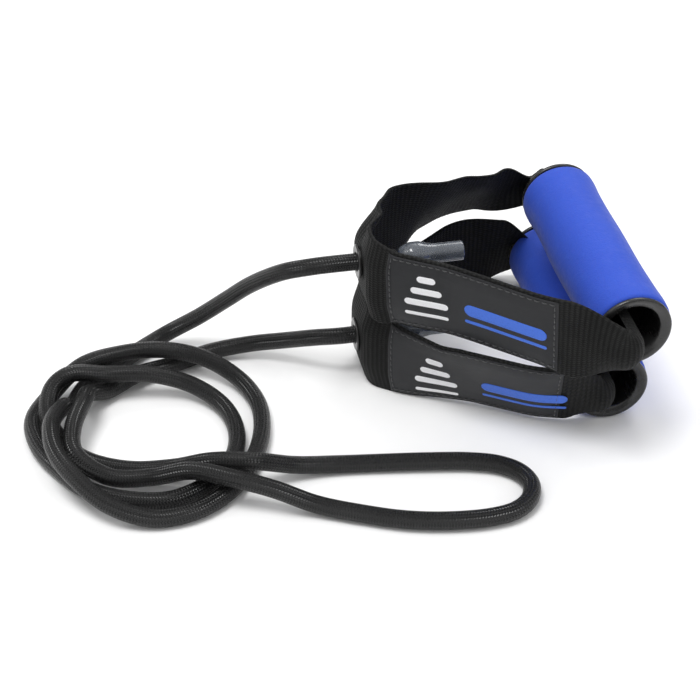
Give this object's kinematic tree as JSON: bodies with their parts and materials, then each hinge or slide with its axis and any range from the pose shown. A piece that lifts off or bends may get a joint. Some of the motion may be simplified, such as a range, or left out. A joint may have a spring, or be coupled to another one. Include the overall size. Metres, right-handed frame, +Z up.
{
  "type": "resistance band",
  "caption": "Elastic exercise cord in a fabric sleeve, coiled loosely, with a webbing loop handle and foam grip on each end, one handle stacked on the other.",
  "frame": {"origin": "middle of the two stacked handles, on the surface they rest on; the cord is left out of this middle", "axes": "+X from the cord towards the grips, +Y along both grips away from the labelled leg, +Z up"},
  "size_m": [0.2623, 0.1698, 0.081],
  "materials": {
    "webbing": "matte ribbed webbing",
    "satin": "smooth satin",
    "foam": "matte closed-cell foam",
    "inner_plastic": "matte moulded",
    "cap_plastic": "glossy moulded",
    "eyelet_plastic": "satin moulded",
    "clear_latex": "translucent, smooth",
    "sleeve": "fine woven sleeve with a slight sheen"
  },
  "bodies": {
    "lower_handle": {"lower_strap": "webbing", "lower_label": "satin", "lower_eyelet": "eyelet_plastic", "lower_tube_end": "clear_latex", "lower_cord_plug": "inner_plastic", "cord_sleeve": "sleeve", "cord_latex_core": "clear_latex"},
    "lower_grip": {"lower_foam_grip": "foam", "lower_grip_tube": "inner_plastic", "lower_front_cap": "cap_plastic", "lower_rear_cap": "cap_plastic"},
    "upper_handle": {"upper_strap": "webbing", "upper_label": "satin", "upper_eyelet": "eyelet_plastic", "upper_tube_end": "clear_latex", "upper_cord_plug": "inner_plastic", "upper_cord_end": "sleeve"},
    "upper_grip": {"upper_foam_grip": "foam", "upper_grip_tube": "inner_plastic", "upper_front_cap": "cap_plastic", "upper_rear_cap": "cap_plastic"}
  },
  "joints": [
    {"name": "lower_grip_spin", "type": "hinge", "parent": "lower_handle", "child": "lower_grip", "pos_m": [0.0418, 0.0165, 0.0165], "axis": [0, 1, 0], "continuous": true},
    {"name": "upper_handle_lift", "type": "hinge", "parent": "lower_handle", "child": "upper_handle", "pos_m": [-0.07, 0.013, 0.061], "axis": [0, -1, 0], "range_deg": [0, 75]},
    {"name": "upper_grip_spin", "type": "hinge", "parent": "upper_handle", "child": "upper_grip", "pos_m": [0.04, -0.0037, 0.0605], "axis": [0, 1, 0], "continuous": true}
  ]
}
